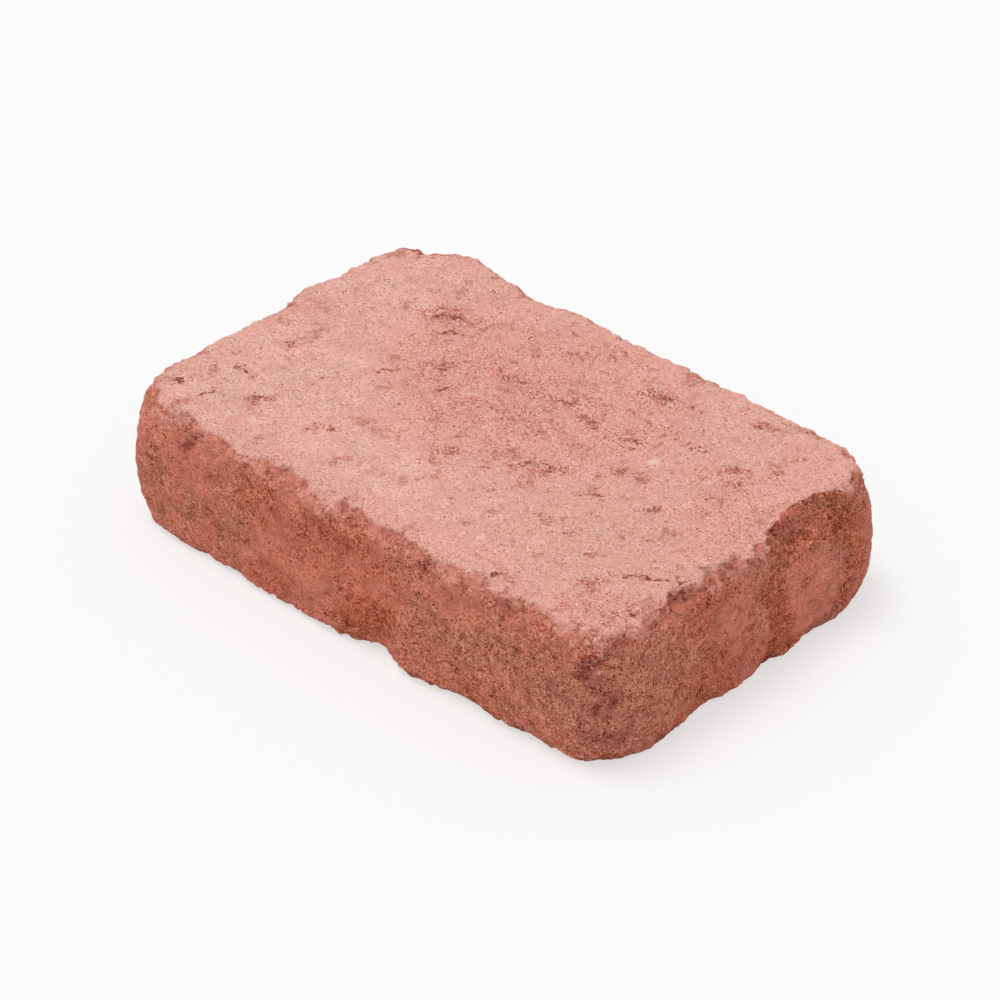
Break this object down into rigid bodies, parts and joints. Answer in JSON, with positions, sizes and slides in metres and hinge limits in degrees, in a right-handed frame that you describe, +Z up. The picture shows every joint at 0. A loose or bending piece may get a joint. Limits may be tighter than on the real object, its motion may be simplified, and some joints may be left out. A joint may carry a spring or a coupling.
{
  "type": "concrete paving stone",
  "caption": "Rectangular tumbled concrete paving stone with wavy walls, worn arrises and rounded corners, laid flat on a bed to pave paths and patios.",
  "frame": {"origin": "middle of the stone's bounding rectangle, on the plane of the bed", "axes": "+X along the length, +Y across the width from the front wall to the back wall, +Z up from the bed to the crown"},
  "size_m": [0.2278, 0.153, 0.051],
  "materials": {
    "concrete": "matt, pigmented red-pink, sandy and pitted"
  },
  "bodies": {
    "root": {"paving_stone": "concrete"}
  },
  "joints": []
}
